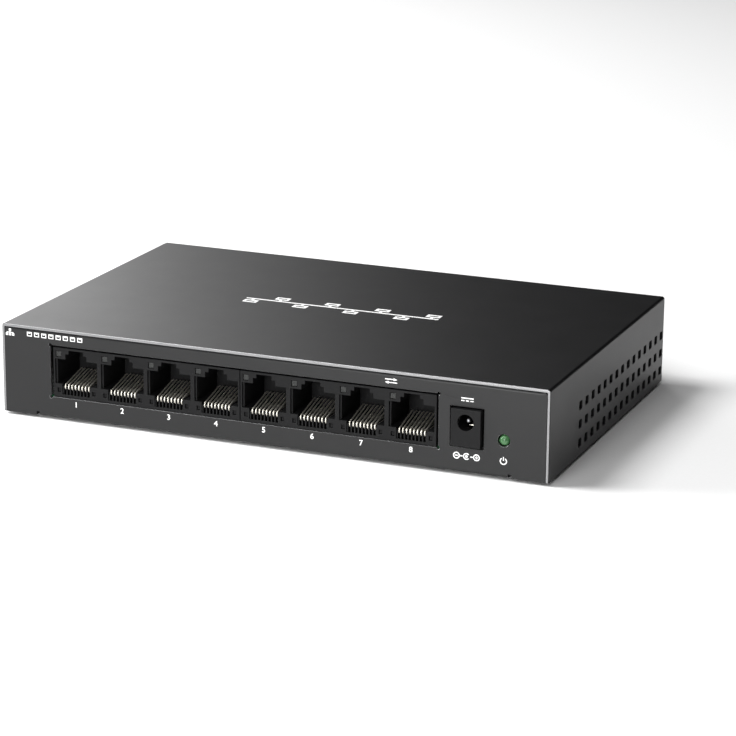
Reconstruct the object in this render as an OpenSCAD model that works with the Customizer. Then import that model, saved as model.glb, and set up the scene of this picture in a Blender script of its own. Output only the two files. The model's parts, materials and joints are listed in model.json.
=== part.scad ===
// Desktop network switch with a row of eight jacks and a folded steel case.
// Frame: origin on the table under the middle of the whole object,
// X to the right seen from the front, Y to the back, Z up.

/* [Case] */
// Width of the case over the cover's sides
case_w = 158; // [156:1:170]
// Depth of the case, without the power socket's nose
case_d = 101; // [98:1:120]
// Height from the table to the top of the cover
case_h = 25.8; // [25.5:0.1:28]
// Thickness of the cover's sheet
cover_t = 0.8; // [0.6:0.1:1]
// Thickness of the chassis' sheet
chassis_t = 1.0; // [0.8:0.1:1.2]
// How far the rubber feet lift the case off the table
foot_lift = 0.8; // [0.6:0.1:1.5]

/* [Vents] */
// Vent slots along each side
vent_columns = 15; // [8:1:15]
// Rows of vent slots
vent_rows = 3; // [1:1:3]
// Distance from one vent slot to the next
vent_pitch = 5.23; // [4.5:0.01:5.3]
// Length of a vent slot along the side
vent_long = 2.6; // [2.4:0.1:3.2]
// Height of a vent slot
vent_high = 2.3; // [2:0.1:2.4]

/* [Ports] */
// Distance from one jack to the next
port_pitch = 13.97; // [13.9:0.01:14]
// Middle of the row of jacks
port_row_x = -7.7; // [-9:0.1:-7]
// Rise of the resting contact wires above the horizontal
contact_rise = 14; // [10:1:14]

/* [Power inlet] */
// Middle of the power socket
socket_x = 56.6; // [56:0.1:58]
// How far the power socket's nose stands out of the front panel
socket_proud = 1.2; // [0.8:0.1:1.5]
// Diameter of the hole that takes the power plug
socket_bore_d = 4.4; // [4.2:0.1:4.8]
// Middle of the power light
light_x = 66.7; // [65:0.1:68]

/* [Hidden] */
$fn = 48;
PORTS_PER_BLOCK = 4;
PORTS = 2 * PORTS_PER_BLOCK;

eps = 0.5;                                  // how far a cutter overshoots
steel_black = "#2b2b2d";
plastic_black = "#161617";
gold = "#c9a24a";
tin = "#b9bcc0";

// Case
front_y = -(case_d + socket_proud) / 2 + socket_proud;
rear_y = front_y + case_d;
cover_x = case_w / 2;
side_gap = 0.1;                             // chassis to the cover's sides
chassis_x = cover_x - cover_t - side_gap;
floor_z = foot_lift;
floor_top = floor_z + chassis_t;
cover_z = case_h - cover_t;                 // underside of the cover's top
bend_r = 0.8;
flange_deep = 6;
relief_x = 68.4;                            // notches where the panel's bend ends
relief_w = 0.9;
relief_h = 1.0;
vent_first_y = front_y + 25.3;
vent_low_z = 4.5;
vent_row_step = 5.15;
vent_corner_r = 0.5;

// Cover screws, sunk in dished pockets of the rear panel
screw_x = 62;
screw_z = 17.8;
screw_r = 1.45;
screw_hole_r = 1.6;
pocket_r = 4.2;
pocket_deep = 1.3;
tab_half = 6;                               // the cover's tabs behind them
tab_gap = 0.1;

// Feet and wall slots
foot_r = 5;
foot_x = 66;
foot_inset_y = 12;
foot_recess = 1.0;
keyhole_x = 50;
keyhole_y = front_y + 84;
keyhole_r = 3.75;
keyhole_neck_r = 2;
keyhole_run = 7;

// Circuit board
board_w = 148;
board_d = 62;
board_t = 1.6;
board_lift = 3.3;
board_z = floor_top + board_lift;
board_top = board_z + board_t;
board_front = front_y + chassis_t + 0.4;
board_screw_at = [for (x = [-69, 69], y = [22, 58]) [x, front_y + y]];
pin_below = 1.1;                            // leads under the board
pin_hole_r = 0.45;

// Jack blocks
block_front = front_y + 0.3;
block_w = PORTS_PER_BLOCK * port_pitch - 0.2;
block_d = 19;
block_h = 14;
block_top = board_top + block_h;
mouth_half = 6.4;
mouth_deep = 0.8;
cavity_half = 6.0;
cavity_deep = 13.5;
cavity_low = board_top + 3.8;
cavity_high = board_top + 10.8;
key_half = 3.2;
key_step_half = 2.2;
key_step_z = board_top + 12.3;
key_high = board_top + 13.4;
trough_half = 4.3;
trough_low = board_top + 1.9;
trough_deep = 16;
lamp_x = -5.3;
lamp_z = board_top + 12.2;
lamp_half = 0.85;
panel_open_w = 112.9;
panel_open_low = 6.6;
panel_open_high = 21.2;
corner_relief_r = 0.45;

// Contact wires
wire_r = 0.22;
contact_pitch = 1.02;
contacts = 8;
bend_centre_y = block_front + 1.15;
bend_centre_z = board_top + 2.9;
wire_bend_r = 0.7;
arm_long = 9.5;
bend_end = 264;                             // where the moving bend stops, degrees from +Y
lead_row_near = 11.5;
lead_row_far = 14;
rib_w = 0.36;

// Power socket and its light
socket_half = 4.1;
socket_top = board_top + 11.4;
socket_long = 14;
socket_front = front_y - socket_proud;
socket_back = socket_front + socket_long;
socket_axis_z = board_top + 7.9;
nose_low = board_top + 1.3;
bore_deep = 9.5;
pin_r = 0.65;
pin_recess = 2;
leaf_half = 0.75;
leaf_t = 0.25;
leaf_hinge_y = socket_front + 11.3;
leaf_hinge_z = socket_axis_z - socket_bore_d / 2 - 0.75;
leaf_long = 6.4;
leaf_rise = 8;
light_z = board_top + 4.1;
light_r = 1.5;

// Chips
chip_xy = [-6, front_y + 46];
chip_half = 10;
chip_h = 1.5;
pad_h = 0.5;
sink_half = 12.5;
sink_h = 9;
sink_fins = 9;
sink_fin_t = 1.0;
sink_base = 2;
transformer_y = front_y + 26.5;

function port_x(i) = port_row_x + (i - 1 - (PORTS - 1) / 2) * port_pitch;
function contact_x(i, k) = port_x(i) + (k - (contacts - 1) / 2) * contact_pitch;
function lead_y(k) = block_front + (k % 2 == 0 ? lead_row_near : lead_row_far);

// ---------------------------------------------------------------- helpers

module block(x0, x1, y0, y1, z0, z1) {
    translate([x0, y0, z0]) cube([x1 - x0, y1 - y0, z1 - z0]);
}

// Cylinder along Y
module y_rod(x, z, r, y0, y1) {
    translate([x, y0, z]) rotate([-90, 0, 0]) cylinder(h = y1 - y0, r = r);
}

// Vertical cylinder
module z_rod(x, y, r, z0, z1) {
    translate([x, y, z0]) cylinder(h = z1 - z0, r = r);
}

// Box on the board, centred at xy
module on_board(xy, w, d, h, lift = 0) {
    translate([xy[0] - w / 2, xy[1] - d / 2, board_top + lift]) cube([w, d, h]);
}

// Row of gull-wing legs down both Y sides of a part w wide and d deep
module side_legs(xy, w, d, legs, pitch, leg_w, reach, leg_h) {
    for (k = [0:legs - 1], s = [-1, 1])
        translate([xy[0] + (k - (legs - 1) / 2) * pitch - leg_w / 2,
                   xy[1] + (s > 0 ? d / 2 : -d / 2 - reach), board_top])
            cube([leg_w, reach, leg_h]);
}

module screw(head_r, head_h, shank_r, shank_long) {
    difference() {
        union() {
            cylinder(h = head_h, r = head_r);
            translate([0, 0, -shank_long]) cylinder(h = shank_long, r = shank_r);
        }
        for (a = [0, 90])
            rotate([0, 0, a]) translate([-1.4, -0.25, head_h - 0.6]) cube([2.8, 0.5, 1]);
    }
}

// ---------------------------------------------------------------- case

// Rounded-top outline of the cover, d in from the outside
module cover_outline(d) {
    r = bend_r - min(d, bend_r - 0.3);
    half = cover_x - d;
    top = case_h - d;
    translate([-half, floor_z]) square([2 * half, top - r - floor_z]);
    translate([-half + r, floor_z]) square([2 * (half - r), top - floor_z]);
    for (s = [-1, 1]) translate([s * (half - r), top - r]) circle(r = r);
}

module vent_outline() {
    a = vent_long / 2 - vent_corner_r;
    b = vent_high / 2 - vent_corner_r;
    square([2 * a, vent_high], center = true);
    square([vent_long, 2 * b], center = true);
    for (x = [-a, a], y = [-b, b]) translate([x, y]) circle(r = vent_corner_r);
}

module top_cover() {
    color(steel_black) {
        difference() {
            translate([0, rear_y, 0]) rotate([90, 0, 0]) linear_extrude(case_d) difference() {
                cover_outline(0);
                translate([0, -eps]) cover_outline(cover_t);
                cover_outline(cover_t);
            }
            for (c = [0:vent_columns - 1], r = [0:vent_rows - 1])
                translate([-cover_x - eps, vent_first_y + c * vent_pitch, vent_low_z + r * vent_row_step])
                    rotate([90, 0, 90]) linear_extrude(case_w + 2 * eps) vent_outline();
        }
        // tongues that reach under the front panel's flange
        for (x = [-50, 0, 50]) {
            block(x - 5, x + 5, front_y + 6.3, front_y + 7.1, cover_z - 2.2, cover_z);
            block(x - 5, x + 5, front_y + 2.5, front_y + 7.1, cover_z - 2.2, cover_z - 1.4);
        }
        // tapped tabs behind the rear panel's pockets
        for (s = [-1, 1]) difference() {
            block(s * screw_x - tab_half, s * screw_x + tab_half,
                  rear_y - pocket_deep - chassis_t - tab_gap - cover_t,
                  rear_y - pocket_deep - chassis_t - tab_gap, screw_z - 5, cover_z);
            y_rod(s * screw_x, screw_z, screw_r + 0.05, rear_y - 6, rear_y);
        }
    }
}

// Side view of the chassis: floor, front and rear panel, top flanges
module chassis_outline() {
    t = chassis_t;
    difference() {
        union() {
            translate([front_y + bend_r, floor_z]) square([case_d - 2 * bend_r, cover_z - floor_z]);
            translate([front_y, floor_z + bend_r]) square([case_d, cover_z - floor_z - 2 * bend_r]);
            for (y = [front_y + bend_r, rear_y - bend_r], z = [floor_z + bend_r, cover_z - bend_r])
                translate([y, z]) circle(r = bend_r);
        }
        translate([front_y + t, floor_top]) square([case_d - 2 * t, cover_z - floor_z - 2 * t]);
        translate([front_y + flange_deep, cover_z - t - eps])
            square([case_d - 2 * flange_deep, t + 2 * eps]);
    }
}

module keyhole_cut() {
    z0 = floor_z - eps;
    z1 = floor_top + eps;
    for (s = [-1, 1]) translate([s * keyhole_x, keyhole_y, 0]) {
        z_rod(0, 0, keyhole_r, z0, z1);
        z_rod(0, -keyhole_run, keyhole_neck_r, z0, z1);
        block(-keyhole_neck_r, keyhole_neck_r, -keyhole_run, 0, z0, z1);
    }
}

module foot_places() {
    for (x = [-foot_x, foot_x], y = [front_y + foot_inset_y, rear_y - foot_inset_y])
        translate([x, y, 0]) children();
}

module chassis() {
    open_x = port_row_x - 0.05;
    recess_r = foot_r + 0.4;
    color(steel_black) difference() {
        union() {
            translate([-chassis_x, 0, 0]) rotate([90, 0, 90]) linear_extrude(2 * chassis_x) chassis_outline();
            // outside the relief notches the front panel runs straight down
            for (s = [-1, 1]) translate([s * (relief_x + chassis_x) / 2, 0, 0])
                block(-(chassis_x - relief_x) / 2, (chassis_x - relief_x) / 2,
                      front_y, front_y + chassis_t, floor_z, floor_z + 2 * bend_r);
            // returns of the front panel inside the cover's sides
            for (s = [-1, 1]) translate([s * (chassis_x - chassis_t / 2), 0, 0])
                block(-chassis_t / 2, chassis_t / 2, front_y, front_y + flange_deep + 2, floor_z + 2, cover_z);
            foot_places() z_rod(0, 0, recess_r + chassis_t, floor_z, floor_top + foot_recess);
            for (s = [-1, 1]) y_rod(s * screw_x, screw_z, pocket_r + chassis_t,
                                    rear_y - pocket_deep - chassis_t, rear_y - chassis_t / 2);
        }
        block(open_x - panel_open_w / 2, open_x + panel_open_w / 2,
              front_y - eps, front_y + chassis_t + eps, panel_open_low, panel_open_high);
        for (s = [-1, 1], z = [panel_open_low, panel_open_high])
            y_rod(open_x + s * panel_open_w / 2, z, corner_relief_r, front_y - eps, front_y + chassis_t + eps);
        block(socket_x - socket_half - 0.6, socket_x + socket_half + 0.5,
              front_y - eps, front_y + chassis_t + eps, nose_low - 0.5, socket_top + 0.4);
        y_rod(light_x, light_z, light_r + 0.2, front_y - eps, front_y + chassis_t + eps);
        for (s = [-1, 1])
            block(s * relief_x - relief_w / 2, s * relief_x + relief_w / 2,
                  front_y - eps, front_y + chassis_t + 1, floor_z - eps, floor_z + relief_h);
        // the flanges' corners clear the bends of the cover
        for (s = [-1, 1])
            block(s * chassis_x - 0.4, s * chassis_x + 0.4, front_y - eps, rear_y + eps, cover_z - 0.4, cover_z + eps);
        // notches in the rear flange let the cover's tabs through
        for (s = [-1, 1])
            block(s * screw_x - tab_half - 0.4, s * screw_x + tab_half + 0.4,
                  rear_y - flange_deep - eps, rear_y - pocket_deep - chassis_t + 0.2,
                  cover_z - chassis_t - eps, cover_z + eps);
        foot_places() z_rod(0, 0, recess_r, floor_z - eps, floor_z + foot_recess);
        keyhole_cut();
        for (s = [-1, 1]) {
            y_rod(s * screw_x, screw_z, pocket_r, rear_y - pocket_deep, rear_y + eps);
            y_rod(s * screw_x, screw_z, screw_hole_r, rear_y - 6, rear_y);
        }
    }
}

module cover_screws() {
    color("#3a3a3c") for (s = [-1, 1])
        translate([s * screw_x, rear_y - pocket_deep, screw_z]) rotate([-90, 0, 0])
            screw(2.8, pocket_deep - 0.1, screw_r, 4.5);
}

module rubber_feet() {
    h = floor_z + foot_recess;
    r = 0.5;
    color("#1c1c1c") foot_places() rotate_extrude() difference() {
        union() {
            square([foot_r - r, h]);
            translate([0, r]) square([foot_r, h - r]);
            translate([foot_r - r, r]) circle(r = r);
        }
        translate([-1, -1]) square([1, h + 2]);
    }
}

module rating_label() {
    color("#c8c8c6") block(-24, 24, front_y + 40, front_y + 66, floor_z - 0.1, floor_z);
}

// ---------------------------------------------------------------- board

module main_board() {
    color("#1d5a34") difference() {
        block(-board_w / 2, board_w / 2, board_front, board_front + board_d, board_z, board_top);
        for (p = board_screw_at) z_rod(p[0], p[1], 1.65, board_z - eps, board_top + eps);
        for (i = [1:PORTS], k = [0:contacts - 1])
            z_rod(contact_x(i, k), lead_y(k), pin_hole_r, board_z - eps, board_top + eps);
        for (i = [1:PORTS], s = [-1, 1])
            z_rod(port_x(i) + lamp_x + s * 0.5, block_front + block_d + 0.5, 0.35, board_z - eps, board_top + eps);
        for (s = [-1, 1])
            z_rod(light_x + s * 1.27, front_y + 8, pin_hole_r, board_z - eps, board_top + eps);
        for (y = [leaf_hinge_y, socket_back + 0.2])
            z_rod(socket_x, y, 1.3, board_z - eps, board_top + eps);
    }
}

module board_standoffs() {
    color(tin) for (p = board_screw_at) difference() {
        z_rod(p[0], p[1], 2.75, floor_top, board_z);
        z_rod(p[0], p[1], 1.5, floor_top - eps, board_z + eps);
    }
}

module board_screws() {
    color(tin) for (p = board_screw_at) translate([p[0], p[1], board_top]) screw(2.8, 1.8, screw_r, 3.8);
}

module insulating_film() {
    t = 0.25;
    color("#30343a") difference() {
        block(-61, 61, board_front + 4, board_front + board_d - 2, floor_top, floor_top + t);
        foot_places() z_rod(0, 0, foot_r + 2.4, floor_z, board_z);
    }
}

// ---------------------------------------------------------------- jacks

// Everything that is hollow in one jack
module jack_cut(x) {
    y = block_front;
    block(x - mouth_half, x + mouth_half, y - eps, y + mouth_deep, cavity_low, cavity_high);
    block(x - cavity_half, x + cavity_half, y - eps, y + cavity_deep, cavity_low, cavity_high);
    block(x - key_half, x + key_half, y - eps, y + cavity_deep, cavity_low, key_step_z);
    block(x - key_step_half, x + key_step_half, y - eps, y + cavity_deep - 3, cavity_low, key_high);
    block(x - trough_half, x + trough_half, y - eps, y + trough_deep, trough_low, cavity_low + 1);
    block(x - trough_half, x + trough_half, y + lead_row_near - 1, y + trough_deep, board_top - eps, cavity_low);
    block(x - trough_half, x + trough_half, y - eps, y + 1.6, board_top + 0.8, cavity_low);
    block(x + lamp_x - lamp_half, x + lamp_x + lamp_half, y - eps, y + block_d + eps,
          lamp_z - lamp_half, lamp_z + lamp_half);
    for (s = [-1, 1])
        block(x + s * 5.3 - 0.5, x + s * 5.3 + 0.5, y - eps, y + 0.7, board_top + 1.4, board_top + 2.6);
}

module jack_comb(x) {
    for (k = [0:contacts])
        translate([x + (k - contacts / 2) * contact_pitch - rib_w / 2, 0, 0])
            block(0, rib_w, block_front + 0.25, block_front + 1.6, board_top + 0.7, bend_centre_z + 0.25);
}

module jack_block(first) {
    mid = (port_x(first) + port_x(first + PORTS_PER_BLOCK - 1)) / 2;
    color(plastic_black) {
        difference() {
            block(mid - block_w / 2, mid + block_w / 2, block_front, block_front + block_d, board_top, block_top);
            for (i = [first:first + PORTS_PER_BLOCK - 1]) jack_cut(port_x(i));
        }
        for (i = [first:first + PORTS_PER_BLOCK - 1]) jack_comb(port_x(i));
    }
}

// Fixed half of each wire: the run along the trough and the leg through the board
module jack_leads(first) {
    run_z = bend_centre_z - wire_bend_r;
    color(gold) for (i = [first:first + PORTS_PER_BLOCK - 1], k = [0:contacts - 1]) {
        y_rod(contact_x(i, k), run_z, wire_r, bend_centre_y, lead_y(k));
        z_rod(contact_x(i, k), lead_y(k), wire_r, board_z - pin_below, run_z + wire_r);
    }
}

// Moving half: the round bend in the comb and the sloping arm
module jack_springs(i) {
    color(gold) for (k = [0:contacts - 1])
        translate([contact_x(i, k), bend_centre_y, bend_centre_z]) rotate([90, 0, 90]) {
            rotate([0, 0, 90 + contact_rise]) rotate_extrude(angle = bend_end - 90 - contact_rise)
                translate([wire_bend_r, 0]) circle(r = wire_r);
            rotate([0, 0, contact_rise]) translate([0, wire_bend_r, 0]) rotate([0, 90, 0])
                cylinder(h = arm_long, r = wire_r);
        }
}

// Lamps in the jacks' top left corners, with their legs down the back of the block
module jack_lamps(first) {
    y = block_front;
    leg_y = y + block_d + 0.5;
    color("#dfe6d8") for (i = [first:first + PORTS_PER_BLOCK - 1]) {
        x = port_x(i) + lamp_x;
        half = lamp_half - 0.1;
        block(x - half, x + half, y + 0.25, y + 4.5, lamp_z - half, lamp_z + half);
        for (s = [-1, 1]) {
            y_rod(x + s * 0.5, lamp_z, 0.2, y + 4.4, leg_y);
            z_rod(x + s * 0.5, leg_y, 0.2, board_z - pin_below, lamp_z + 0.2);
        }
    }
}

module port_block_left() { jack_block(1); }
module port_block_right() { jack_block(1 + PORTS_PER_BLOCK); }
module contact_leads_left() { jack_leads(1); }
module contact_leads_right() { jack_leads(1 + PORTS_PER_BLOCK); }
module port_lights_left() { jack_lamps(1); }
module port_lights_right() { jack_lamps(1 + PORTS_PER_BLOCK); }

// ---------------------------------------------------------------- power inlet

module power_socket() {
    x = socket_x;
    color(plastic_black) difference() {
        block(x - socket_half, x + socket_half, socket_front, socket_back, board_top, socket_top);
        block(x - socket_half - eps, x + socket_half + eps, socket_front - eps,
              front_y + chassis_t + 0.3, board_top - eps, nose_low);
        y_rod(x, socket_axis_z, socket_bore_d / 2, socket_front - eps, socket_front + bore_deep);
        y_rod(x, socket_axis_z, pin_r, socket_front, socket_back + eps);
        block(x - leaf_half - 0.2, x + leaf_half + 0.2, socket_front + 3.5, leaf_hinge_y + 0.6,
              leaf_hinge_z - 0.5, socket_axis_z);
        block(x - 1.1, x + 1.1, leaf_hinge_y - 0.35, leaf_hinge_y + 0.35, board_top - eps, leaf_hinge_z);
    }
}

module power_socket_pin() {
    nose_r = 0.35;
    color(tin) {
        y_rod(socket_x, socket_axis_z, pin_r, socket_front + pin_recess + nose_r, socket_back);
        translate([socket_x, socket_front + pin_recess, socket_axis_z]) rotate([-90, 0, 0])
            cylinder(h = nose_r, r1 = pin_r - nose_r, r2 = pin_r);
    }
}

// Leaf that presses on the plug's sleeve
module power_socket_spring() {
    color(gold) translate([socket_x - leaf_half, leaf_hinge_y, leaf_hinge_z]) rotate([-leaf_rise, 0, 0])
        translate([0, -leaf_long, 0]) cube([2 * leaf_half, leaf_long, leaf_t]);
}

module power_socket_lugs() {
    t = 0.35;
    w = 0.95;
    color(tin) {
        difference() {
            block(socket_x - w, socket_x + w, socket_back, socket_back + t, board_z - pin_below, socket_axis_z + w);
            y_rod(socket_x, socket_axis_z, 0.3, socket_back - eps, socket_back + t + eps);
        }
        block(socket_x - w, socket_x + w, leaf_hinge_y - t / 2, leaf_hinge_y + t / 2,
              board_z - pin_below, leaf_hinge_z - 0.3);
    }
}

module power_light() {
    back = front_y + 6;
    dome_y = front_y + light_r - 0.3;
    leg_y = front_y + 8;
    color("#8fb58c") {
        y_rod(light_x, light_z, light_r, dome_y, back);
        translate([light_x, dome_y, light_z]) sphere(r = light_r);
        for (s = [-1, 1]) {
            y_rod(light_x + s * 1.27, light_z, 0.22, back - 0.6, leg_y);
            z_rod(light_x + s * 1.27, leg_y, 0.22, board_z - pin_below, light_z + 0.22);
        }
    }
}

module power_light_holder() {
    color(plastic_black) difference() {
        block(light_x - 2.3, light_x + 2.3, front_y + chassis_t + 0.5, front_y + 7.3,
              board_top, light_z + 2.2);
        y_rod(light_x, light_z, light_r + 0.03, front_y, front_y + 8);
        for (s = [-1, 1]) block(light_x + s * 1.27 - 0.3, light_x + s * 1.27 + 0.3,
                                front_y + 5, front_y + 8, light_z - 0.3, light_z + 0.3);
    }
}

// ---------------------------------------------------------------- electronics

module switch_chip() {
    color("#232326") {
        on_board(chip_xy, 2 * chip_half, 2 * chip_half, chip_h - 0.1, 0.1);
        for (a = [0, 90]) translate([chip_xy[0], chip_xy[1], 0]) rotate([0, 0, a])
            side_legs([0, 0], 2 * chip_half, 2 * chip_half, 20, 0.9, 0.4, 1, 0.3);
    }
}

module thermal_pad() {
    color("#8f9aa5") on_board(chip_xy, 18, 18, pad_h, chip_h);
}

module heat_sink() {
    base = board_top + chip_h + pad_h;
    step = (2 * sink_half - sink_fin_t) / (sink_fins - 1);
    color("#b4b6b8") translate([chip_xy[0] - sink_half, chip_xy[1] - sink_half, base]) {
        cube([2 * sink_half, 2 * sink_half, sink_base]);
        for (k = [0:sink_fins - 1])
            translate([k * step, 0, sink_base - 0.1]) cube([sink_fin_t, 2 * sink_half, sink_h - sink_base + 0.1]);
    }
}

module line_transformer(n) {
    xy = [port_row_x + (n - 2.5) * 2 * port_pitch, transformer_y];
    color("#1f1f22") {
        on_board(xy, 23.5, 9, 5.6, 0.4);
        side_legs(xy, 23.5, 9, 18, 1.27, 0.45, 1.3, 0.5);
    }
}

module clock_crystal() {
    color(tin) {
        on_board([chip_xy[0] - 19, chip_xy[1] + 4], 11, 4.6, 3.4, 0.2);
        on_board([chip_xy[0] - 19, chip_xy[1] + 4], 12, 2, 0.3);
    }
}

module memory_chip() {
    color("#232326") {
        on_board([chip_xy[0] + 22, chip_xy[1] + 6], 4.9, 3.9, 1.5, 0.1);
        side_legs([chip_xy[0] + 22, chip_xy[1] + 6], 4.9, 3.9, 4, 1.27, 0.42, 1, 0.3);
    }
}

module power_fuse() {
    color("#3c6b45") on_board([socket_x - 6.5, front_y + 20], 3.2, 4.6, 1.0);
}

module surge_diode() {
    color("#26262a") {
        on_board([socket_x + 1, front_y + 20], 5.2, 3.6, 2.2, 0.1);
        on_board([socket_x + 1, front_y + 20], 7.4, 1.9, 0.4);
    }
}

module voltage_regulator() {
    color("#232326") {
        on_board([socket_x - 6, front_y + 38], 2.9, 1.6, 1.1, 0.1);
        side_legs([socket_x - 6, front_y + 38], 2.9, 1.6, 3, 0.95, 0.4, 0.6, 0.2);
    }
}

module power_inductor() {
    color("#3b3b3e") {
        on_board([socket_x + 2, front_y + 38], 7.2, 7.2, 3.4, 0.2);
        on_board([socket_x + 2, front_y + 38], 7.6, 3, 0.3);
    }
}

module electrolytic_capacitors() {
    color("#2e3d55") for (p = [[socket_x + 10, front_y + 30], [socket_x - 4, front_y + 50], [socket_x + 8, front_y + 50]]) {
        z_rod(p[0], p[1], 3.15, board_top + 0.4, board_top + 7.4);
        on_board(p, 6.6, 6.6, 0.5);
    }
}

// Rows of small two-ended parts between the transformers and the chip
module chip_capacitors() {
    color("#a58a63") for (k = [0:11])
        on_board([chip_xy[0] - 33 + 6 * k, front_y + 33.2 + (k % 2) * 0.9], 1.6, 0.8, 0.8);
}

module chip_resistors() {
    color("#1c1c1e") for (k = [0:11])
        on_board([port_x(1) - 2 + 9 * k, front_y + 60.5], 1.6, 0.8, 0.5);
}

// ---------------------------------------------------------------- nodes

top_cover();
chassis();
cover_screws();
rubber_feet();
rating_label();
main_board();
board_standoffs();
board_screws();
insulating_film();
port_block_left();
port_block_right();
contact_leads_left();
contact_leads_right();
port_lights_left();
port_lights_right();
for (i = [1:PORTS]) jack_springs(i);
power_socket();
power_socket_pin();
power_socket_spring();
power_socket_lugs();
power_light();
power_light_holder();
switch_chip();
thermal_pad();
heat_sink();
clock_crystal();
memory_chip();
for (i = [1:4]) line_transformer(i);
power_fuse();
surge_diode();
voltage_regulator();
power_inductor();
electrolytic_capacitors();
chip_capacitors();
chip_resistors();
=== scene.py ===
# %% [markdown]
# # A desktop network switch
#
# The object is a flat box folded from two pieces of sheet steel. Its front holds eight network
# jacks, a round power socket and a small green light. The CAD frame gives every piece its place
# and size. This notebook gives them their finish: eased edges, round wires, printed marks and a
# material for each real substance.

# %% Load the frame
import json
import math
import bmesh
import bpy
from mathutils import Matrix, Vector


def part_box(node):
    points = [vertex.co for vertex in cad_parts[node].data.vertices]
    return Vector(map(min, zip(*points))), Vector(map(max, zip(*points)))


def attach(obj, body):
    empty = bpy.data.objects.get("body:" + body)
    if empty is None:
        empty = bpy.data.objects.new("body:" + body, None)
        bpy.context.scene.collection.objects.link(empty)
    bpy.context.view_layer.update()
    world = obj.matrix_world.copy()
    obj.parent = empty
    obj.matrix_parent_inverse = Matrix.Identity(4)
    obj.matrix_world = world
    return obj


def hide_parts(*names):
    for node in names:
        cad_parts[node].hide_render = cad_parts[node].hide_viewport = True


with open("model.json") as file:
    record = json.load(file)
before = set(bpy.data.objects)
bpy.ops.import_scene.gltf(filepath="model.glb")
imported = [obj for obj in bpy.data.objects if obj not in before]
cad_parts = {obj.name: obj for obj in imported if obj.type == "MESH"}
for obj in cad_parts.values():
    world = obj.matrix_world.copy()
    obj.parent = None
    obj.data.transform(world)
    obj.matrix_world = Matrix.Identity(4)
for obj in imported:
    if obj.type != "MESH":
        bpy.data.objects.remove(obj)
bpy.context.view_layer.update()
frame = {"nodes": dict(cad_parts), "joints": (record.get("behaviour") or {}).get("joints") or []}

MM = 0.001
PORTS = 8
cover_low, cover_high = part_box("top_cover")
front_y = cover_low.y
case_mid_y = (cover_low.y + cover_high.y) / 2
under_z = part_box("chassis")[0].z
print("case", [round(v / MM, 1) for v in cover_high - cover_low], "mm")

# %% [markdown]
# ## The camera
#
# A long lens from far away keeps the box's edges almost parallel, as in a product picture. The
# camera is set by its angle round the object, its height angle and its distance. A matrix built
# from the three axes places it exactly, which a track-to constraint can't do with a roll.

# %% Place the camera
CAMERA_AZIMUTH = math.radians(22.09)     # round from straight ahead, towards +X
CAMERA_ELEVATION = math.radians(16.35)
CAMERA_ROLL = math.radians(0.49)
CAMERA_DISTANCE = 0.7998
CAMERA_ASIDE = 7.95 * MM                 # how far the lens axis passes right of the case's middle
CAMERA_ABOVE = 7.626 * MM
CAMERA_LENS = 139.13


def camera_matrix():
    flat = math.cos(CAMERA_ELEVATION)
    back = Vector((math.sin(CAMERA_AZIMUTH) * flat, -math.cos(CAMERA_AZIMUTH) * flat,
                   math.sin(CAMERA_ELEVATION)))
    level = (-back).cross(Vector((0, 0, 1))).normalized()
    steep = level.cross(-back)
    right = math.cos(CAMERA_ROLL) * level + math.sin(CAMERA_ROLL) * steep
    up = math.cos(CAMERA_ROLL) * steep - math.sin(CAMERA_ROLL) * level
    place = CAMERA_DISTANCE * back + CAMERA_ASIDE * right + CAMERA_ABOVE * up
    place += Vector((0, case_mid_y, under_z))
    turned = Matrix((right, up, back)).transposed().to_4x4()
    return Matrix.Translation(place) @ turned


camera_data = bpy.data.cameras.new("camera")
camera_data.sensor_width = 36
camera_data.lens = CAMERA_LENS
camera = bpy.data.objects.new("camera", camera_data)
camera.matrix_world = camera_matrix()
bpy.context.scene.collection.objects.link(camera)
bpy.context.scene.camera = camera
bpy.context.scene.view_settings.view_transform = "Standard"
print("camera at", [round(v, 3) for v in camera.location])

# %% [markdown]
# ## One helper for material nodes
#
# Every material below is a small tree of nodes. One function adds a node, sets its properties and
# fills its inputs. An input given as a pair of a node and an output name becomes a link. Colours
# are written as the hex values a paint card would have and turned to linear light once.


# %% Colour and node helpers
def linear(hex_code):
    def channel(text):
        value = int(text, 16) / 255
        return value / 12.92 if value <= 0.04045 else ((value + 0.055) / 1.055) ** 2.4
    return (*(channel(hex_code[i:i + 2]) for i in (1, 3, 5)), 1.0)


def add_node(tree, kind, inputs=(), **properties):
    node = tree.nodes.new(kind)
    for key, value in properties.items():
        setattr(node, key, value)
    for key, value in dict(inputs).items():
        if isinstance(value, tuple) and isinstance(value[0], bpy.types.Node):
            tree.links.new(value[0].outputs[value[1]], node.inputs[key])
        else:
            node.inputs[key].default_value = value
    return node


def new_material(name):
    """A material with an empty tree, and its output, shader and object coordinates."""
    material = bpy.data.materials.new(name)
    material.use_nodes = True
    tree = material.node_tree
    tree.nodes.clear()
    place = add_node(tree, "ShaderNodeTexCoord")
    shader = add_node(tree, "ShaderNodeBsdfPrincipled")
    add_node(tree, "ShaderNodeOutputMaterial", {"Surface": (shader, "BSDF")})
    return material, tree, shader, place


def ramp(tree, source, stops):
    """A colour ramp over a texture's value; stops are pairs of place and hex colour."""
    node = add_node(tree, "ShaderNodeValToRGB", {"Fac": source})
    elements = node.color_ramp.elements
    while len(elements) < len(stops):
        elements.new(0.5)
    for element, (at, colour) in zip(elements, stops):
        element.position = at
        element.color = linear(colour)
    return node


def grey_range(tree, source, low, high):
    """Maps a 0 to 1 texture value to low to high."""
    return add_node(tree, "ShaderNodeMapRange", {"Value": source, "To Min": low, "To Max": high})


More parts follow.
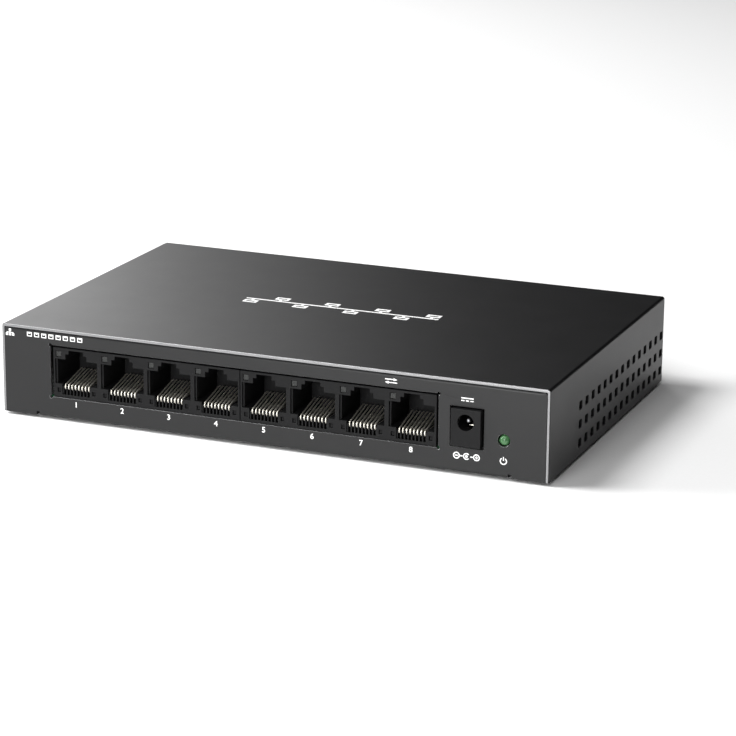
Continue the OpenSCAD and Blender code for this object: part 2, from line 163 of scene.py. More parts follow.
def fill_shader(tree, shader, **values):
    """Sets or links the shader's own inputs; underscores stand for spaces."""
    for key, value in values.items():
        socket = shader.inputs[key.replace("_", " ")]
        if isinstance(value, tuple) and isinstance(value[0], bpy.types.Node):
            tree.links.new(value[0].outputs[value[1]], socket)
        else:
            socket.default_value = value


# %% [markdown]
# ## The finishes
#
# Most of this object is black, so the finishes differ in gloss and grain rather than in colour.
# Each function below is one real substance. The grain sizes are real sizes in millimetres: a
# noise texture's scale is one over that size in metres.


# %% A moulded or painted finish
def grained_finish(name, colours, rough, grain_mm, bump_mm, wear_mm=9.0, **extra):
    """A dielectric finish: fine grain in colour, gloss and relief, and slow unevenness over it."""
    material, tree, shader, place = new_material(name)
    grain = add_node(tree, "ShaderNodeTexNoise",
                     {"Vector": (place, "Object"), "Scale": 1 / (grain_mm * MM), "Detail": 3.0})
    slow = add_node(tree, "ShaderNodeTexNoise",
                    {"Vector": (place, "Object"), "Scale": 1 / (wear_mm * MM), "Detail": 4.0})
    both = add_node(tree, "ShaderNodeMath", {0: (grain, "Fac"), 1: (slow, "Fac")}, operation="ADD")
    half = add_node(tree, "ShaderNodeMath", {0: (both, "Value"), 1: 0.5}, operation="MULTIPLY")
    colour = ramp(tree, (half, "Value"), ((0.35, colours[0]), (0.65, colours[1])))
    gloss = grey_range(tree, (half, "Value"), rough[0], rough[1])
    relief = add_node(tree, "ShaderNodeBump",
                      {"Height": (grain, "Fac"), "Distance": bump_mm * MM, "Strength": 1.0})
    fill_shader(tree, shader, Base_Color=(colour, "Color"), Roughness=(gloss, "Result"),
                Normal=(relief, "Normal"), **extra)
    return material


# Powder-coated steel: baked polyester powder melts into a skin with a fine orange peel, which
# breaks a reflection into a soft sheen. The peel is about 0.3 mm; it is drawn at 0.45 mm to show.
powder_coat = grained_finish("powder_coated_steel", ("#0d0d0e", "#111112"), (0.38, 0.46),
                             grain_mm=0.45, bump_mm=0.0035, IOR=1.5, Specular_IOR_Level=0.42)
# PBT housings: glass-filled, moulded in a lightly eroded tool, so satin with a slight mottle.
jack_pbt = grained_finish("moulded_black_PBT", ("#0a0a0b", "#101011"), (0.5, 0.6),
                          grain_mm=0.25, bump_mm=0.006, IOR=1.45, Specular_IOR_Level=0.22)
# Rubber: matt, slightly dusty.
foot_rubber = grained_finish("moulded_nitrile_rubber", ("#1b1b1b", "#262626"), (0.75, 0.88),
                             grain_mm=0.3, bump_mm=0.01, IOR=1.52)
# Chip packages: epoxy filled with silica, blasted mould finish.
chip_epoxy = grained_finish("silica_filled_epoxy", ("#1c1c1d", "#262627"), (0.5, 0.62),
                            grain_mm=0.15, bump_mm=0.003, IOR=1.55)
# Label: polyester film with a matt print coat.
label_film = grained_finish("matt_polyester_label", ("#c9c9c5", "#d3d3cf"), (0.5, 0.6),
                            grain_mm=0.4, bump_mm=0.002)
# Insulating film under the board: thin black polycarbonate.
black_film = grained_finish("black_polycarbonate_film", ("#101113", "#17181a"), (0.22, 0.34),
                            grain_mm=1.5, bump_mm=0.004, IOR=1.58)
silicone_pad = grained_finish("thermal_silicone_pad", ("#76828e", "#8b96a1"), (0.6, 0.75),
                              grain_mm=0.35, bump_mm=0.01)
ferrite = grained_finish("sintered_ferrite", ("#2d2d30", "#3d3d41"), (0.55, 0.7),
                         grain_mm=0.3, bump_mm=0.012)
ceramic = grained_finish("fired_capacitor_ceramic", ("#8a6f4c", "#a68b64"), (0.35, 0.45),
                         grain_mm=0.2, bump_mm=0.002)
resistor_glaze = grained_finish("black_glazed_alumina", ("#121214", "#1b1b1e"), (0.2, 0.3),
                                grain_mm=0.3, bump_mm=0.002)
fuse_laminate = grained_finish("green_fuse_laminate", ("#2b5a38", "#376c45"), (0.4, 0.5),
                               grain_mm=0.3, bump_mm=0.004)
# Screen-printed ink: opaque white epoxy ink, very thin, a little uneven.
white_ink = grained_finish("white_screen_ink", ("#f0f0ef", "#f8f8f7"), (0.5, 0.6),
                           grain_mm=0.3, bump_mm=0.002)
print("finishes made:", len(bpy.data.materials))


# %% [markdown]
# ## Metals
#
# A metal's colour is its reflection, so it stays fully metallic with the default refraction. Fine
# drawing lines run along a wire or a sheet: noise stretched along one axis gives them.


# %% Metals
def drawn_metal(name, colours, rough, line_mm=0.12, stretch=(1, 0.08, 1), bump_mm=0.0015):
    material, tree, shader, place = new_material(name)
    stretched = add_node(tree, "ShaderNodeMapping", {"Vector": (place, "Object"), "Scale": stretch})
    lines = add_node(tree, "ShaderNodeTexNoise",
                     {"Vector": (stretched, "Vector"), "Scale": 1 / (line_mm * MM), "Detail": 2.0})
    colour = ramp(tree, (lines, "Fac"), ((0.35, colours[0]), (0.7, colours[1])))
    gloss = grey_range(tree, (lines, "Fac"), rough[0], rough[1])
    relief = add_node(tree, "ShaderNodeBump",
                      {"Height": (lines, "Fac"), "Distance": bump_mm * MM, "Strength": 0.6})
    fill_shader(tree, shader, Base_Color=(colour, "Color"), Roughness=(gloss, "Result"),
                Normal=(relief, "Normal"), Metallic=1.0)
    return material


# Phosphor bronze wire with a thin gold flash: pale, nearly silver, satin from its drawing.
gold_flash = drawn_metal("gold_flashed_phosphor_bronze", ("#dcd8cc", "#f0ede4"), (0.42, 0.55))
# Bright tin over brass or steel.
bright_tin = drawn_metal("bright_tin_plate", ("#a9abae", "#c8cacc"), (0.22, 0.36))
# Black oxide on a steel screw: dark metal, satin.
black_oxide = drawn_metal("black_oxide_steel", ("#232325", "#343437"), (0.34, 0.46), stretch=(1, 1, 1))
# The cut face of zinc-coated sheet steel: grey, smeared by the punch along the edge.
cut_steel = drawn_metal("cut_zinc_coated_steel", ("#7f7f80", "#9d9d9e"), (0.34, 0.5), line_mm=0.2)
# Extruded aluminium, clear anodised: soft grey with lines along the extrusion.
anodised = drawn_metal("clear_anodised_aluminium", ("#a2a4a6", "#bcbec0"), (0.32, 0.45), line_mm=0.25)


# %% [markdown]
# ## Clear resins
#
# A lamp is cast from tinted epoxy. Part of the light goes through it and part comes back from the
# tint, so it looks dark with a small highlight. A faint haze, as of slow setting, varies its gloss.


# %% Clear resins
def lamp_resin(name, tint, depth_tint, rough=0.12):
    material, tree, shader, place = new_material(name)
    haze = add_node(tree, "ShaderNodeTexNoise",
                    {"Vector": (place, "Object"), "Scale": 1 / (0.8 * MM), "Detail": 2.0})
    colour = ramp(tree, (haze, "Fac"), ((0.3, tint), (0.75, depth_tint)))
    gloss = grey_range(tree, (haze, "Fac"), rough, rough + 0.1)
    fill_shader(tree, shader, Base_Color=(colour, "Color"), Roughness=(gloss, "Result"),
                Transmission_Weight=0.35, IOR=1.5)
    return material


green_resin = lamp_resin("green_tinted_epoxy_resin", "#3a6e3f", "#639766")
clear_resin = lamp_resin("milky_epoxy_resin", "#1c1e1d", "#2e302e", rough=0.16)


# %% [markdown]
# ## The circuit board's green skin
#
# A board is woven glass in epoxy with copper tracks under a green mask. Tracks show as slightly
# lighter lines. A brick texture turned on its side makes bundles of parallel tracks; a Voronoi
# pattern marks the ground areas between them.


# %% Solder mask
def solder_mask():
    material, tree, shader, place = new_material("green_solder_mask")
    tracks = add_node(tree, "ShaderNodeTexBrick",
                      {"Vector": (place, "Object"), "Scale": 1 / (1.0 * MM), "Mortar Size": 0.12,
                       "Brick Width": 9.0, "Row Height": 0.55, "Mortar Smooth": 0.2,
                       "Color1": linear("#1b5a35"), "Color2": linear("#1f6239"),
                       "Mortar": linear("#123f26")})
    areas = add_node(tree, "ShaderNodeTexVoronoi",
                     {"Vector": (place, "Object"), "Scale": 1 / (11 * MM)}, distance="CHEBYCHEV")
    ground = ramp(tree, (areas, "Distance"), ((0.40, "#000000"), (0.42, "#ffffff")))
    colour = add_node(tree, "ShaderNodeMix",
                      {0: (ground, "Color"), 6: (tracks, "Color"), 7: linear("#17502f")},
                      data_type="RGBA")
    weave = add_node(tree, "ShaderNodeTexNoise",
                     {"Vector": (place, "Object"), "Scale": 1 / (0.5 * MM), "Detail": 2.0})
    relief = add_node(tree, "ShaderNodeBump",
                      {"Height": (tracks, "Fac"), "Distance": 0.03 * MM, "Strength": 0.7}, invert=True)
    gloss = grey_range(tree, (weave, "Fac"), 0.22, 0.34)
    fill_shader(tree, shader, Base_Color=(colour, 2), Roughness=(gloss, "Result"),
                Normal=(relief, "Normal"), IOR=1.55)
    return material


green_mask = solder_mask()


# %% [markdown]
# ## Making a piece
#
# Each finished piece is a plain mesh at the origin whose place is in its vertices. It rides on a
# CAD body and hides the CAD nodes it stands in for. A copy of a CAD mesh is merged first, then its
# flat triangles are joined, so that a bevel can round its true edges. Real sheet steel and plastic
# have no knife edges, and the thin highlight along an eased edge is most of what makes a small
# object look solid.


# %% Piece helpers
def to_piece(name, mesh, material, body="case", replaces=()):
    obj = bpy.data.objects.new(name, mesh)
    bpy.context.scene.collection.objects.link(obj)
    if not mesh.materials:
        mesh.materials.append(material)
    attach(obj, body)
    if replaces:
        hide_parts(*replaces)
    return obj


def work_object(data):
    work = bpy.data.objects.new("work", data)
    bpy.context.scene.collection.objects.link(work)
    return work


def baked(obj):
    """The object's evaluated mesh as a plain mesh; the object itself is removed."""
    bpy.context.view_layer.update()
    shown = obj.evaluated_get(bpy.context.evaluated_depsgraph_get())
    mesh = bpy.data.meshes.new_from_object(shown)
    bpy.data.objects.remove(obj)
    return mesh


def smooth_by_angle(mesh, degrees=35):
    mesh.shade_smooth()
    mesh.set_sharp_from_angle(angle=math.radians(degrees))


def weigh_edges(mesh, share, corner_degrees=40):
    """Gives each sharp edge its share, 0 to 1, of the easing; share(low, high) takes its box."""
    form = bmesh.new()
    form.from_mesh(mesh)
    weight = form.edges.layers.float.new("bevel_weight_edge")
    for edge in form.edges:
        if len(edge.link_faces) == 2 and edge.calc_face_angle() > math.radians(corner_degrees):
            a, b = (v.co for v in edge.verts)
            edge[weight] = share(Vector(map(min, a, b)), Vector(map(max, a, b)))
    form.to_mesh(mesh)
    form.free()


def eased(mesh, width_mm, segments=3, corner_degrees=40, share=None):
    """The mesh with its sharp edges rounded to width_mm, shaded smooth across the rounding."""
    if share:
        weigh_edges(mesh, share, corner_degrees)
    work = work_object(mesh)
    bevel = work.modifiers.new("ease", "BEVEL")
    bevel.width = width_mm * MM
    bevel.segments = segments
    bevel.limit_method = "WEIGHT" if share else "ANGLE"
    bevel.angle_limit = math.radians(corner_degrees)
    bevel.use_clamp_overlap = False
    rounded = baked(work)
    smooth_by_angle(rounded)
    work = work_object(rounded)
    flat = work.modifiers.new("keep_flats_flat", "WEIGHTED_NORMAL")
    flat.keep_sharp = True
    flat.weight = 100
    return baked(work)


def merged_copy(*nodes):
    """The CAD nodes' meshes as one, vertices merged and flat triangles joined."""
    form = bmesh.new()
    for node in nodes:
        form.from_mesh(frame["nodes"][node].data)
    bmesh.ops.remove_doubles(form, verts=form.verts, dist=0.001 * MM)
    bmesh.ops.dissolve_limit(form, angle_limit=math.radians(0.4), verts=form.verts, edges=form.edges)
    mesh = bpy.data.meshes.new("copy")
    form.to_mesh(mesh)
    form.free()
    return mesh


def eased_copy(node, name, material, width_mm, body="case", slot=None, **ease):
    mesh = eased(merged_copy(node), width_mm, **ease)
    return to_piece(name, mesh, material, body, (node,))


# %% [markdown]
# ## The folded case
#
# Cover and chassis are punched from sheet steel, folded and powder coated. The coat is thick
# and soft over an outer edge, which rounds it by about 0.3 mm, and the cover's two rims are
# trimmed after coating, so a thin bright line of bare steel runs along them. The panel's fold
# hides under the front rim. The cover is drawn an ink's thickness low, so that the sign printed
# on top of it ends at the case's true height.

# %% Cover
SNAP = 0.02 * MM
PAINTED, CUT = 0, 1
sheet_x, sheet_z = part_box("chassis")[1].x + 0.1 * MM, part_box("chassis")[1].z


def at_y(low, high, y):
    return abs(low.y - y) < SNAP and abs(high.y - y) < SNAP


INK = 0.02 * MM
COVER_TOP = cover_high.z - INK


def cover_share(low, high):
    """Full rounding outside the front and back rims, less inside them and at the vents."""
    outside = max(-low.x, high.x) > sheet_x + SNAP or high.z > sheet_z + SNAP
    if at_y(low, high, cover_low.y) or at_y(low, high, cover_high.y):
        return 1.0 if outside else 0.3
    return 0.4 if outside and high.z < sheet_z - MM else 0.0


def show_cut_faces(mesh, is_cut):
    """Leaves the faces that the punch cut through the sheet bare; the rest is painted."""
    mesh.materials.append(powder_coat)
    mesh.materials.append(cut_steel)
    for polygon in mesh.polygons:
        polygon.material_index = CUT if is_cut(polygon.center, polygon.normal) else PAINTED
    return mesh


def rim_is_cut(centre, normal):
    return abs(normal.y) > 0.9 and min(abs(centre.y - cover_low.y), abs(centre.y - cover_high.y)) < SNAP


cover_mesh = show_cut_faces(merged_copy("top_cover"), rim_is_cut)
cover_mesh.transform(Matrix.Translation((0, 0, -INK)))
to_piece("top_cover_shell", eased(cover_mesh, 0.28, share=cover_share), powder_coat,
         "case", ("top_cover",))

# %% [markdown]
# The panel's openings are trimmed to size after coating, so their edges show bare zinc. Only
# they and the panel's rim are eased: the folds are round already, and a bevel laid over a fold
# would crease it.

# %% Chassis
PANEL_THICK = 1.0 * MM
chassis_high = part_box("chassis")[1]


def chassis_share(low, high):
    if max(-low.x, high.x) > chassis_high.x - 1.6 * MM:
        return 0.0
    if at_y(low, high, front_y):
        return 1.0
    if at_y(low, high, cover_high.y):
        return 0.8
    return 0.5 if abs(low.z - under_z) < SNAP and abs(high.z - under_z) < SNAP else 0.0


def opening_is_cut(centre, normal):
    in_panel = front_y < centre.y < front_y + PANEL_THICK
    return in_panel and abs(normal.y) < 0.1 and under_z + 1.5 * MM < centre.z < chassis_high.z - 1.5 * MM


chassis_mesh = show_cut_faces(merged_copy("chassis"), opening_is_cut)
to_piece("chassis_shell", eased(chassis_mesh, 0.12, share=chassis_share), powder_coat,
         "case", ("chassis",))
eased_copy("cover_screws", "cover_screw_pair", black_oxide, 0.1, slot="black_screws")
eased_copy("rubber_feet", "rubber_foot_set", foot_rubber, 0.12, slot="foot_rubber")
print("case pieces made")

# %% [markdown]
# ## The jack housings
#
# Four jacks are moulded as one block. The plug room, the latch way above it, the comb that
# parts the wires and the lamp's square window are all in the moulding.

# %% Jack blocks
for side in ("left", "right"):
    eased_copy(f"port_block_{side}", f"jack_housing_{side}", jack_pbt, 0.09,
               slot="jack_plastic", segments=2)
eased_copy("power_socket", "power_socket_housing", jack_pbt, 0.15, slot="jack_plastic")
eased_copy("power_light_holder", "light_spacer", jack_pbt, 0.1, slot="jack_plastic")

# %% [markdown]
# ## Contact wires
#
# Every jack has eight round wires, all bent to one path. Geometry Nodes draws the path once as a
# tube and repeats it: one row inside a jack, and rows of rows where several jacks share a piece.
# The wires' fixed runs come from the same tree, as two rows of four in each of four jacks.


# %% The wire row tree
def wire_rows_tree():
    tree = bpy.data.node_groups.new("wire_rows", "GeometryNodeTree")
    sockets = tree.interface
    sockets.new_socket("Path", in_out="INPUT", socket_type="NodeSocketGeometry")
    for name, kind in (("Wire radius", "Float"), ("Count", "Int"), ("Pitch", "Float"),
                       ("Groups", "Int"), ("Group pitch", "Float"), ("Finish", "Material")):
        sockets.new_socket(name, in_out="INPUT", socket_type=f"NodeSocket{kind}")
    sockets.new_socket("Wires", in_out="OUTPUT", socket_type="NodeSocketGeometry")
    given = add_node(tree, "NodeGroupInput")
    path = add_node(tree, "GeometryNodeMeshToCurve", {"Mesh": (given, "Path")})
    profile = add_node(tree, "GeometryNodeCurvePrimitiveCircle",
                       {"Resolution": 12, "Radius": (given, "Wire radius")})
    tube = add_node(tree, "GeometryNodeCurveToMesh",
                    {"Curve": (path, "Curve"), "Profile Curve": (profile, "Curve"), "Fill Caps": True})
    wires = tube
    for count, pitch in (("Count", "Pitch"), ("Groups", "Group pitch")):
        step = add_node(tree, "ShaderNodeCombineXYZ", {"X": (given, pitch)})
        less_one = add_node(tree, "ShaderNodeMath", {0: (given, count), 1: -1.0}, operation="ADD")
        back_half = add_node(tree, "ShaderNodeVectorMath",
                             {0: (step, "Vector"), "Scale": (less_one, "Value")}, operation="SCALE")
        start = add_node(tree, "ShaderNodeVectorMath",
                         {0: (back_half, "Vector"), "Scale": -0.5}, operation="SCALE")
        line = add_node(tree, "GeometryNodeMeshLine",
                        {"Count": (given, count), "Start Location": (start, "Vector"),
                         "Offset": (step, "Vector")})
        output = "Mesh" if wires is tube else "Instances"
        wires = add_node(tree, "GeometryNodeInstanceOnPoints",
                         {"Points": (line, "Mesh"), "Instance": (wires, output)})
    real = add_node(tree, "GeometryNodeRealizeInstances", {"Geometry": (wires, "Instances")})
    finish = add_node(tree, "GeometryNodeSetMaterial",
                      {"Geometry": (real, "Geometry"), "Material": (given, "Finish")})
    add_node(tree, "NodeGroupOutput", {"Wires": (finish, "Geometry")})
    return tree


wire_rows = wire_rows_tree()


def path_mesh(points):
    mesh = bpy.data.meshes.new("path")
    mesh.from_pydata([tuple(p) for p in points], [(i, i + 1) for i in range(len(points) - 1)], [])
    return mesh


def rows_of(points, material, radius, count=1, pitch=0.0, groups=1, group_pitch=0.0):
    """Tubes along the path, count by groups, centred on the path's own X."""
    obj = work_object(path_mesh(points))
    modifier = obj.modifiers.new("rows", "NODES")
    modifier.node_group = wire_rows
    values = {"Wire radius": radius, "Count": count, "Pitch": pitch, "Groups": groups,
              "Group pitch": group_pitch, "Finish": material}
    for item in wire_rows.interface.items_tree:
        if item.in_out == "INPUT" and item.name in values:
            modifier[item.identifier] = values[item.name]
    mesh = baked(obj)
    smooth_by_angle(mesh, 50)
    return mesh


def joined(meshes):
    form = bmesh.new()
    for mesh in meshes:
        form.from_mesh(mesh)
    whole = bpy.data.meshes.new("joined")
    form.to_mesh(whole)
    form.free()
    return whole


# %% [markdown]
# The wire comes up through the board, runs forward under the plug, turns back over itself at the
# comb and slopes up and back. The slope is what a plug presses on, so it belongs to the moving
# body, and its hinge is the centre of the front bend.

# %% Wires of each jack
WIRE_RADIUS = 0.22 * MM
CONTACT_PITCH = 1.02 * MM
BEND_RADIUS = 0.7 * MM
CONTACT_RISE = math.radians(14)
BEND_END = math.radians(264)
ARM_LONG = 9.5 * MM
TIP_LONG = 0.7 * MM
joints = {joint["name"]: joint for joint in frame["joints"]}


def port_centre(port):
    low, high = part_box(f"contact_springs_{port}")
    return (low.x + high.x) / 2


def bend_centre(port):
    place = joints[f"port_{port}_contacts"]["pos_m"]
    return Vector((port_centre(port), place[1], place[2]))


def round_about(centre, angle, radius=BEND_RADIUS):
    return centre + radius * Vector((0, math.cos(angle), math.sin(angle)))


def arm_path(centre, steps=12):
    """From the low end of the bend, round its front and up the slope; the tip dips a little."""
    top = math.pi / 2 + CONTACT_RISE
    points = [round_about(centre, BEND_END + (top - BEND_END) * k / steps) for k in range(steps + 1)]
    along = Vector((0, math.cos(CONTACT_RISE), math.sin(CONTACT_RISE)))
    points += [points[-1] + along * (ARM_LONG - TIP_LONG) * k / 4 for k in (1, 2, 3, 4)]
    dip = Vector((0, math.cos(-0.1), math.sin(-0.1)))
    points.append(points[-1] + dip * TIP_LONG)
    return points


for port in range(1, PORTS + 1):
    wires = rows_of(arm_path(bend_centre(port)), gold_flash, WIRE_RADIUS, count=8, pitch=CONTACT_PITCH)
    to_piece(f"contact_arms_{port}", wires, gold_flash, f"port_{port}_springs",
             (f"contact_springs_{port}",))
port_pitch = port_centre(2) - port_centre(1)
print("contact arms made, jacks", round(port_pitch / MM, 2), "mm apart")

# %% [markdown]
# Behind the bend each wire runs flat under the jack and turns down through the board. Odd and
# even wires end in two rows, because pins one millimetre apart would be too close to solder. All
# four jacks of a block share one piece, which stays with the case.

# %% Wires' fixed runs and board legs
for side, first in (("left", 1), ("right", 5)):
    middle = (port_centre(first) + port_centre(first + 3)) / 2
    low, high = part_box(f"contact_leads_{side}")
    start = bend_centre(first)
    start.x = middle
    rows = []
    for row, back in enumerate((high.y - WIRE_RADIUS - 2.5 * MM, high.y - WIRE_RADIUS)):
        aside = Vector(((row - 0.5) * CONTACT_PITCH, 0, 0))
        base = start + aside
        run_z = base.z - BEND_RADIUS
        turn = 0.4 * MM
        path = [Vector((base.x, base.y, run_z)), Vector((base.x, back - turn, run_z))]
        path += [Vector((base.x, back - turn + turn * math.sin(a), run_z - turn + turn * math.cos(a)))
                 for a in (0.4, 0.8, 1.2, math.pi / 2)]
        path.append(Vector((base.x, back, low.z)))
        rows.append(rows_of(path, gold_flash, WIRE_RADIUS, 4, 2 * CONTACT_PITCH, 4, port_pitch))
    to_piece(f"contact_runs_{side}", joined(rows), gold_flash, "case",
             (f"contact_leads_{side}",))
print("contact runs made")

# %% [markdown]
# ## Lamps
#
# A small square lamp of milky resin looks out of each jack's top left corner. Its two legs run
# back over the jack and down behind it. The power light is a round lamp with a domed nose.

# %% Jack lamps and power light
for side in ("left", "right"):
    eased_copy(f"port_lights_{side}", f"jack_lamps_{side}", clear_resin, 0.06,
               slot="lamp_resin", segments=2)
eased_copy("power_light", "power_lamp", green_resin, 0.05, slot="green_lamp_resin", segments=2)

# %% [markdown]
# ## Printed marks
#
# The marks are screen printed in white ink: the jack numbers, the sign for direct current, the
# plug's polarity, the power sign and plain pictures of a network. Each is drawn as flat shapes in
# its own small plane, given the thickness of ink, and only then turned onto the steel.


# %% Flat shapes
def bar(x, y, width, height):
    w, h = width / 2, height / 2
    return [[(x - w, y - h), (x + w, y - h), (x + w, y + h), (x - w, y + h)]]


def disc(x, y, radius, steps=24):
    return [[(x + radius * math.cos(a), y + radius * math.sin(a))
             for a in (k * 2 * math.pi / steps for k in range(steps))]]


def arc(x, y, radius, width, start=0.0, end=360.0, steps=32):
    """A ring or part of one, as a strip of quads."""
    quads = []
    for k in range(steps):
        a, b = (math.radians(start + (end - start) * j / steps) for j in (k, k + 1))
        inner, outer = radius - width / 2, radius + width / 2
        quads.append([(x + r * math.cos(t), y + r * math.sin(t))
                      for r, t in ((inner, a), (outer, a), (outer, b), (inner, b))])
    return quads


def frame_of(x, y, width, height, line):
    return (bar(x, y + (height - line) / 2, width, line) + bar(x, y - (height - line) / 2, width, line)
            + bar(x - (width - line) / 2, y, line, height - 2 * line)
            + bar(x + (width - line) / 2, y, line, height - 2 * line))


def figures(text, height):
    """Text as polygons, centred on the origin and height tall, in millimetres."""
    curve = bpy.data.curves.new("figures", "FONT")
    curve.body = text
    curve.resolution_u = 4
    curve.offset = 0.018          # screen ink spreads, which makes the thin strokes bolder
    mesh = baked(work_object(curve))
    places = [v.co for v in mesh.vertices]
    low = [min(p[i] for p in places) for i in (0, 1)]
    high = [max(p[i] for p in places) for i in (0, 1)]
    scale = height / (high[1] - low[1])
    mid = [(low[i] + high[i]) / 2 for i in (0, 1)]
    return [[((places[i].x - mid[0]) * scale, (places[i].y - mid[1]) * scale) for i in polygon.vertices]
            for polygon in mesh.polygons]


def moved(shapes, x, y):
    return [[(px + x, py + y) for px, py in shape] for shape in shapes]


def print_on(name, shapes, turn, height):
    """Ink shapes, in millimetres, laid on a plane: turn carries the plane into the frame."""
    form = bmesh.new()
    for shape in shapes:
        corners = [form.verts.new((x * MM, y * MM, 0)) for x, y in shape]
        form.faces.new(corners)
    bmesh.ops.remove_doubles(form, verts=form.verts, dist=0.0005 * MM)
    bmesh.ops.recalc_face_normals(form, faces=form.faces)
    for face in form.faces:
        if face.normal.z < 0:
            face.normal_flip()
    raised = bmesh.ops.extrude_face_region(form, geom=form.faces[:])
    top = [v for v in raised["geom"] if isinstance(v, bmesh.types.BMVert)]
    bmesh.ops.translate(form, verts=top, vec=(0, 0, height))
    bmesh.ops.recalc_face_normals(form, faces=form.faces)
    mesh = bpy.data.meshes.new(name)
    form.to_mesh(mesh)
    form.free()
    mesh.transform(turn)
    return to_piece(name, mesh, white_ink, "case")


FRONT = Matrix.Translation((0, front_y + 0.2 * INK, 0)) @ Matrix.Rotation(math.pi / 2, 4, "X")
TOP = Matrix.Translation((0, case_mid_y, COVER_TOP - 0.2 * INK))


# %% [markdown]
# The numbers sit under their jacks. The polarity sign under the socket is three circles on a
# line: minus, the pin in the middle, plus.

# %% Marks on the front panel
FIGURE_HIGH = 1.55
FIGURE_LINE_Z = under_z / MM + 4.35
marks = []
for port in range(1, PORTS + 1):
    marks += moved(figures(str(port), FIGURE_HIGH), port_centre(port) / MM, FIGURE_LINE_Z)
print_on("jack_numbers", marks, FRONT, INK)

socket_x = (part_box("power_socket")[0].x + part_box("power_socket")[1].x) / 2 / MM
light_x = (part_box("power_light")[0].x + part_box("power_light")[1].x) / 2 / MM
POLARITY_Z = under_z / MM + 4.45
RING, LINE = 0.78, 0.3
polarity = []
for side in (-1, 1):
    x = socket_x + side * 2.75
    polarity += arc(x, POLARITY_Z, RING, LINE)
    polarity += bar(x, POLARITY_Z, 0.8, LINE)
    polarity += bar(socket_x + side * 1.45, POLARITY_Z, 0.8, LINE)
polarity += bar(socket_x + 2.75, POLARITY_Z, LINE, 0.8)
polarity += arc(socket_x, POLARITY_Z, RING, LINE, 40, 320) + disc(socket_x, POLARITY_Z, 0.38)
print_on("polarity_sign", polarity, FRONT, INK)

DIRECT_Z = under_z / MM + 19.75
direct = bar(socket_x, DIRECT_Z + 0.35, 3.4, 0.3)
for k in (-1, 0, 1):
    direct += bar(socket_x + 1.25 * k, DIRECT_Z - 0.35, 0.85, 0.3)
print_on("direct_current_sign", direct, FRONT, INK)

POWER_Z = under_z / MM + 4.5
power = arc(light_x, POWER_Z, 0.85, 0.28, 125, 415) + bar(light_x, POWER_Z + 0.6, 0.28, 1.0)
print_on("power_sign", power, FRONT, INK)

# %% [markdown]
# The remaining places carry plain pictures: a small network tree at the left, a row of empty jack
# outlines beside it, two arrows for the link lamps, and on the top a long bus line with a box at
# the end of each branch.


# %% Network pictures
def arrow(x, y, long, line, way):
    """A shaft with a pointed head; way is 1 to the right, -1 to the left."""
    head = long * 0.3
    tip = x + way * long / 2
    return bar(x - way * head / 2, y, long - head, line) + [
        [(tip - way * head, y - line * 1.6), (tip, y), (tip - way * head, y + line * 1.6)][::way]]


def network_tree(x, y, size, line):
    box = size * 0.36
    shapes = frame_of(x, y + size * 0.32, box, box, line)
    shapes += bar(x, y + size * 0.04, line, size * 0.2) + bar(x, y - size * 0.06, size * 1.1, line)
    for side in (-1, 0, 1):
        shapes += bar(x + side * size * 0.5, y - size * 0.12, line, size * 0.1)
        shapes += frame_of(x + side * size * 0.5, y - size * 0.34, box, box, line)
    return shapes


LABEL_Z = under_z / MM + 22.75
small = network_tree(-76.5, LABEL_Z, 1.9, 0.2)
for k in range(8):
    small += frame_of(-70.5 + 2.2 * k, LABEL_Z, 1.5, 1.25, 0.22)
    small += bar(-70.5 + 2.2 * k, LABEL_Z + 0.25, 0.6, 0.25)
print_on("network_signs", small, FRONT, INK)

link = arrow(35.5, LABEL_Z - 0.1, 3.4, 0.25, 1) + arrow(35.5, LABEL_Z - 0.95, 3.4, 0.25, -1)
print_on("link_sign", link, FRONT, INK)

bus_long = 58.0
top_mark = bar(0, 0.9, bus_long, 0.8)
for k in range(8):
    x = (k - 3.5) * 7.6
    up = 1 if k % 2 else -1
    top_mark += bar(x, 0.9 + up * 0.95, 0.8, 1.1) + frame_of(x, 0.9 + up * 2.75, 4.2, 2.5, 0.8)
print_on("bus_sign", top_mark, TOP, INK)
print("marks printed")

# %% [markdown]
# ## Inside the case
#
# The board's parts keep their CAD shapes with eased edges. Chips are grey-black epoxy, the
# transformers too; the heat sink is an extrusion.

# %% Board and its parts
INSIDE = (
    ("main_board", "circuit_board", green_mask, 0.05),
    ("switch_chip", "chip_resin", chip_epoxy, 0.08),
    ("memory_chip", "chip_resin", chip_epoxy, 0.08),
    ("surge_diode", "chip_resin", chip_epoxy, 0.08),
    ("voltage_regulator", "chip_resin", chip_epoxy, 0.05),
    ("thermal_pad", "thermal_pad", silicone_pad, 0.05),
    ("heat_sink", "anodised_aluminium", anodised, 0.12),
    ("clock_crystal", "tinned_metal", bright_tin, 0.12),
    ("power_fuse", "fuse_body", fuse_laminate, 0.08),
    ("power_inductor", "ferrite", ferrite, 0.15),
    ("electrolytic_capacitors", "capacitor_can", anodised, 0.2),
    ("chip_capacitors", "capacitor_ceramic", ceramic, 0.06),
    ("chip_resistors", "resistor_body", resistor_glaze, 0.05),
    ("board_standoffs", "tinned_metal", bright_tin, 0.1),
    ("board_screws", "tinned_metal", bright_tin, 0.1),
    ("power_socket_lugs", "tinned_metal", bright_tin, 0.05),
    ("power_socket_pin", "tinned_metal", bright_tin, 0.05),
    ("insulating_film", "insulating_film", black_film, 0.03),
    ("rating_label", "label_film", label_film, 0.03),
    *((f"line_transformer_{n}", "chip_resin", chip_epoxy, 0.12) for n in range(1, 5)),
)
for node, slot, material, width in INSIDE:
    eased_copy(node, f"{node}_finished", material, width, slot=slot, segments=2)
eased_copy("power_socket_spring", "power_socket_leaf", gold_flash, 0.04, "socket_spring", "gold_plating")
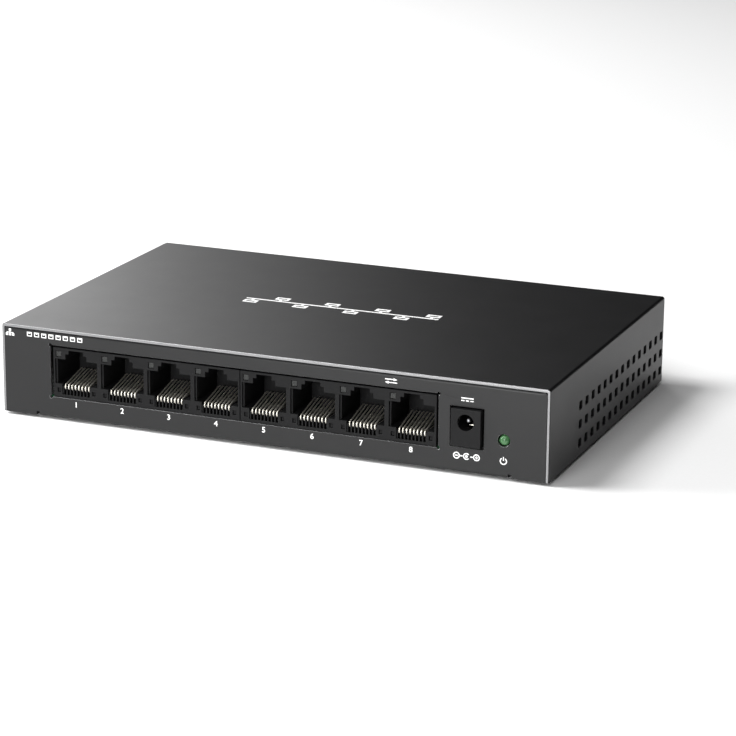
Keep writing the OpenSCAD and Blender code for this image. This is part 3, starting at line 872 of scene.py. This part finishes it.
print("inner pieces:", len(INSIDE) + 1)

# %% [markdown]
# ## Floor and light
#
# The floor is white paper. Soft boxes at the left and in front light it and send the shadow to
# the right. A dark coat shows little but reflections, so the top gets its fade from bright left
# to dark right from two narrow cards low behind the left end, and a weak higher box softens that.
# A small box low in front reaches the wires inside the jacks. The room beyond is nearly dark.


# %% Stage
def paper_floor(half=4.0):
    form = bmesh.new()
    corners = ((-half, -half), (half, -half), (half, half), (-half, half))
    form.faces.new([form.verts.new((x, y, 0)) for x, y in corners])
    mesh = bpy.data.meshes.new("paper_floor")
    form.to_mesh(mesh)
    form.free()
    material, tree, shader, place = new_material("white_paper")
    fibre = add_node(tree, "ShaderNodeTexNoise", {"Vector": (place, "Object"), "Scale": 900.0})
    colour = ramp(tree, (fibre, "Fac"), ((0.3, "#f4f4f4"), (0.7, "#f6f6f6")))
    fill_shader(tree, shader, Base_Color=(colour, "Color"), Roughness=0.9, Specular_IOR_Level=0.1)
    floor = bpy.data.objects.new("paper_floor", mesh)
    bpy.context.scene.collection.objects.link(floor)
    mesh.materials.append(material)


def soft_box(name, place, aim, size, power):
    data = bpy.data.lights.new(name, "AREA")
    data.shape = "RECTANGLE"
    data.size, data.size_y = size
    data.energy = power
    lamp = bpy.data.objects.new(name, data)
    away = (Vector(place) - Vector(aim)).normalized()
    lamp.matrix_world = Matrix.Translation(place) @ away.to_track_quat("Z", "Y").to_matrix().to_4x4()
    bpy.context.scene.collection.objects.link(lamp)


STUDIO = (      # name, place and aim in metres, width and height, watts
    ("high_left_box", (-0.7, -0.2, 1.2), (0, 0, 0), (0.6, 0.6), 17),
    ("left_box", (-1.2, -0.3, 0.5), (0, 0, 0), (0.5, 0.5), 17),
    ("high_front_box", (0, -0.9, 1.3), (0, 0, 0), (0.8, 0.8), 5),
    ("front_box", (0.2, -1.0, 0.5), (0.05, -0.05, 0.01), (0.5, 0.5), 3),
    ("low_front_box", (-0.02, -0.65, 0.1), (0.05, -0.05, 0.012), (0.2, 0.12), 2.2),
    ("back_left_card", (-0.615, 0.846, 0.34), (0, 0, 0.02), (0.18, 0.45), 1.0),
    ("back_card", (-0.491, 0.924, 0.34), (0, 0, 0.02), (0.18, 0.45), 0.12),
    ("back_left_high_box", (-0.371, 0.51, 0.493), (0, 0, 0.02), (0.3, 0.3), 0.42),
)
paper_floor()
for light in STUDIO:
    soft_box(*light)
world = bpy.data.worlds.new("studio")
world.use_nodes = True
background = world.node_tree.nodes["Background"]
background.inputs["Color"].default_value = linear("#303030")
background.inputs["Strength"].default_value = 0.1
bpy.context.scene.world = world
print("lights:", len(STUDIO))
